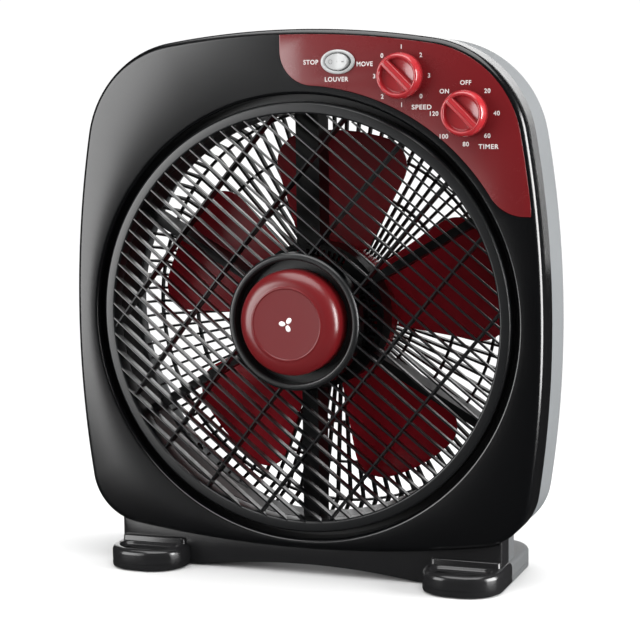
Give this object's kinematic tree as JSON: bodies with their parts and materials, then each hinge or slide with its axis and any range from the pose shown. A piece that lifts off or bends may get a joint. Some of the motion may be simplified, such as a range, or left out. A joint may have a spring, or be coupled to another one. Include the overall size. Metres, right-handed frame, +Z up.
{
  "type": "box fan",
  "caption": "Free-standing box fan on two feet: gloss front shell, turning louver grille with red cap, bladed impeller, rear wire-like grille and a control panel.",
  "frame": {"origin": "on the floor, under the middle of the object's box", "axes": "+Z up, the front faces -Y, +X is to the right seen from the front"},
  "size_m": [0.401, 0.138, 0.4444],
  "materials": {
    "gloss_black": "high-gloss moulded ABS",
    "textured_grey": "fine spark-eroded texture",
    "red_panel": "gloss dark red",
    "red_knob": "satin-gloss red",
    "blade_red": "deep red, slightly translucent gloss",
    "black_plastic": "satin black moulded plastic",
    "louver_grey": "satin charcoal moulded plastic",
    "white_plastic": "gloss off-white",
    "switch_plastic": "plain moulded phenolic",
    "soft_rubber": "matt rubber",
    "lead_rubber": "matt sleeve",
    "brass_metal": "bare",
    "copper_wire": "varnished copper wire",
    "core_iron": "laminated electrical steel",
    "cast_aluminium": "die cast",
    "plated_steel": "zinc plated"
  },
  "bodies": {
    "case": {"front_shell": "gloss_black", "control_panel": "red_panel", "rear_shell": "textured_grey", "rear_grille": "black_plastic", "grille_frame": "black_plastic", "case_screws": "plated_steel", "grille_screws": "plated_steel", "cord_gland": "soft_rubber", "terminal_block": "white_plastic", "capacitor": "switch_plastic", "speed_switch": "switch_plastic", "timer_clockwork": "switch_plastic", "dial_nuts": "plated_steel", "rocker_bezel": "white_plastic", "rocker_body": "switch_plastic", "rocker_terminals": "brass_metal", "rocker_pin": "plated_steel", "louver_motor_can": "plated_steel", "louver_motor_coil": "copper_wire", "louver_motor_plate": "plated_steel", "louver_motor_screws": "plated_steel", "motor_bracket": "black_plastic", "bracket_arms": "black_plastic", "motor_cup": "black_plastic", "bracket_screws": "plated_steel", "wire_channel_lid": "black_plastic", "motor_lead": "lead_rubber", "motor_cover": "black_plastic", "motor_front_bracket": "cast_aluminium", "motor_rear_bracket": "cast_aluminium", "stator_core": "core_iron", "stator_windings": "copper_wire", "front_bush": "brass_metal", "rear_bush": "brass_metal", "motor_bolts": "plated_steel", "stand_front": "gloss_black", "stand_rear": "textured_grey", "foot_pads": "soft_rubber", "stand_screws": "plated_steel"},
    "fan_rotor": {"motor_shaft": "plated_steel", "rotor_core": "core_iron", "fan_hub": "blade_red", "fan_blade": "blade_red", "blade_nut": "black_plastic", "drive_pin": "plated_steel", "thrust_washer": "plated_steel"},
    "louver": {"louver_grille": "louver_grey", "louver_cap": "red_panel", "louver_spindle": "plated_steel", "louver_screw": "plated_steel", "louver_gear": "white_plastic"},
    "speed_dial": {"speed_knob": "red_knob", "speed_spindle": "plated_steel"},
    "timer_dial": {"timer_knob": "red_knob", "timer_spindle": "plated_steel"},
    "rocker": {"rocker_button": "white_plastic"}
  },
  "joints": [
    {"name": "fan_spin", "type": "hinge", "parent": "case", "child": "fan_rotor", "pos_m": [0, 0, 0.212], "axis": [0, 1, 0], "continuous": true},
    {"name": "louver_spin", "type": "hinge", "parent": "case", "child": "louver", "pos_m": [0, 0, 0.212], "axis": [0, 1, 0], "continuous": true},
    {"name": "speed_turn", "type": "hinge", "parent": "case", "child": "speed_dial", "pos_m": [0.0876, 0, 0.4064], "axis": [0, 1, 0], "continuous": true},
    {"name": "timer_turn", "type": "hinge", "parent": "case", "child": "timer_dial", "pos_m": [0.1394, 0, 0.377], "axis": [0, 1, 0], "range_deg": [0, 315]},
    {"name": "rocker_tilt", "type": "hinge", "parent": "case", "child": "rocker", "pos_m": [0.0353, -0.0374, 0.418], "axis": [0, 0, 1], "range_deg": [0, 16]}
  ]
}
